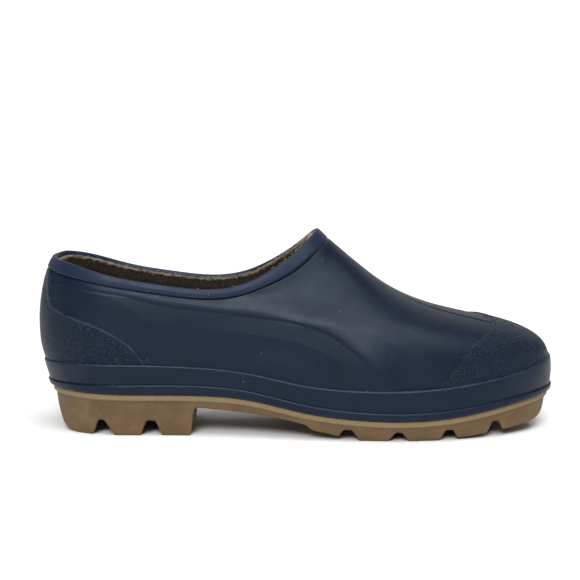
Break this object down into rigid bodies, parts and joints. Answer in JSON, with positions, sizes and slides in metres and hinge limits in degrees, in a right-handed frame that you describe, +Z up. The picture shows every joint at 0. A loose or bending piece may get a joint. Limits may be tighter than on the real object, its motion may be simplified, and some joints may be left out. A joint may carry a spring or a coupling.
{
  "type": "rubber garden clog",
  "caption": "Closed-back slip-on rubber garden clog for the right foot, with a cleated sole, a block heel, a textile lining and a loose footbed whose heel lifts.",
  "frame": {"origin": "on the ground, under the middle of the whole shoe", "axes": "+X from heel to toe, +Y to the inner (big toe) side, +Z up"},
  "size_m": [0.2928, 0.103, 0.1135],
  "materials": {
    "navy_rubber": "satin",
    "tan_rubber": "matte",
    "textile_lining": "brushed knit",
    "footbed_fabric": "felt",
    "fibreboard": "matte",
    "cork_filler": "matte",
    "steel": "satin"
  },
  "bodies": {
    "shoe": {"outsole": "tan_rubber", "heel_core": "cork_filler", "sole_filler": "cork_filler", "shank": "steel", "insole_board": "fibreboard", "upper_shell": "navy_rubber", "lining": "textile_lining", "toe_puff": "fibreboard", "heel_stiffener": "fibreboard", "toe_cap": "navy_rubber", "heel_counter": "navy_rubber", "side_panel_outer": "navy_rubber", "side_panel_inner": "navy_rubber", "collar_band": "navy_rubber", "foxing_band": "navy_rubber", "welt_strip": "navy_rubber", "footbed_front": "footbed_fabric"},
    "footbed": {"footbed_heel": "footbed_fabric"}
  },
  "joints": [
    {"name": "footbed_lift", "type": "hinge", "parent": "shoe", "child": "footbed", "pos_m": [0.00362, 0, 0.02552], "axis": [0, 1, 0], "range_deg": [0, 50]}
  ]
}
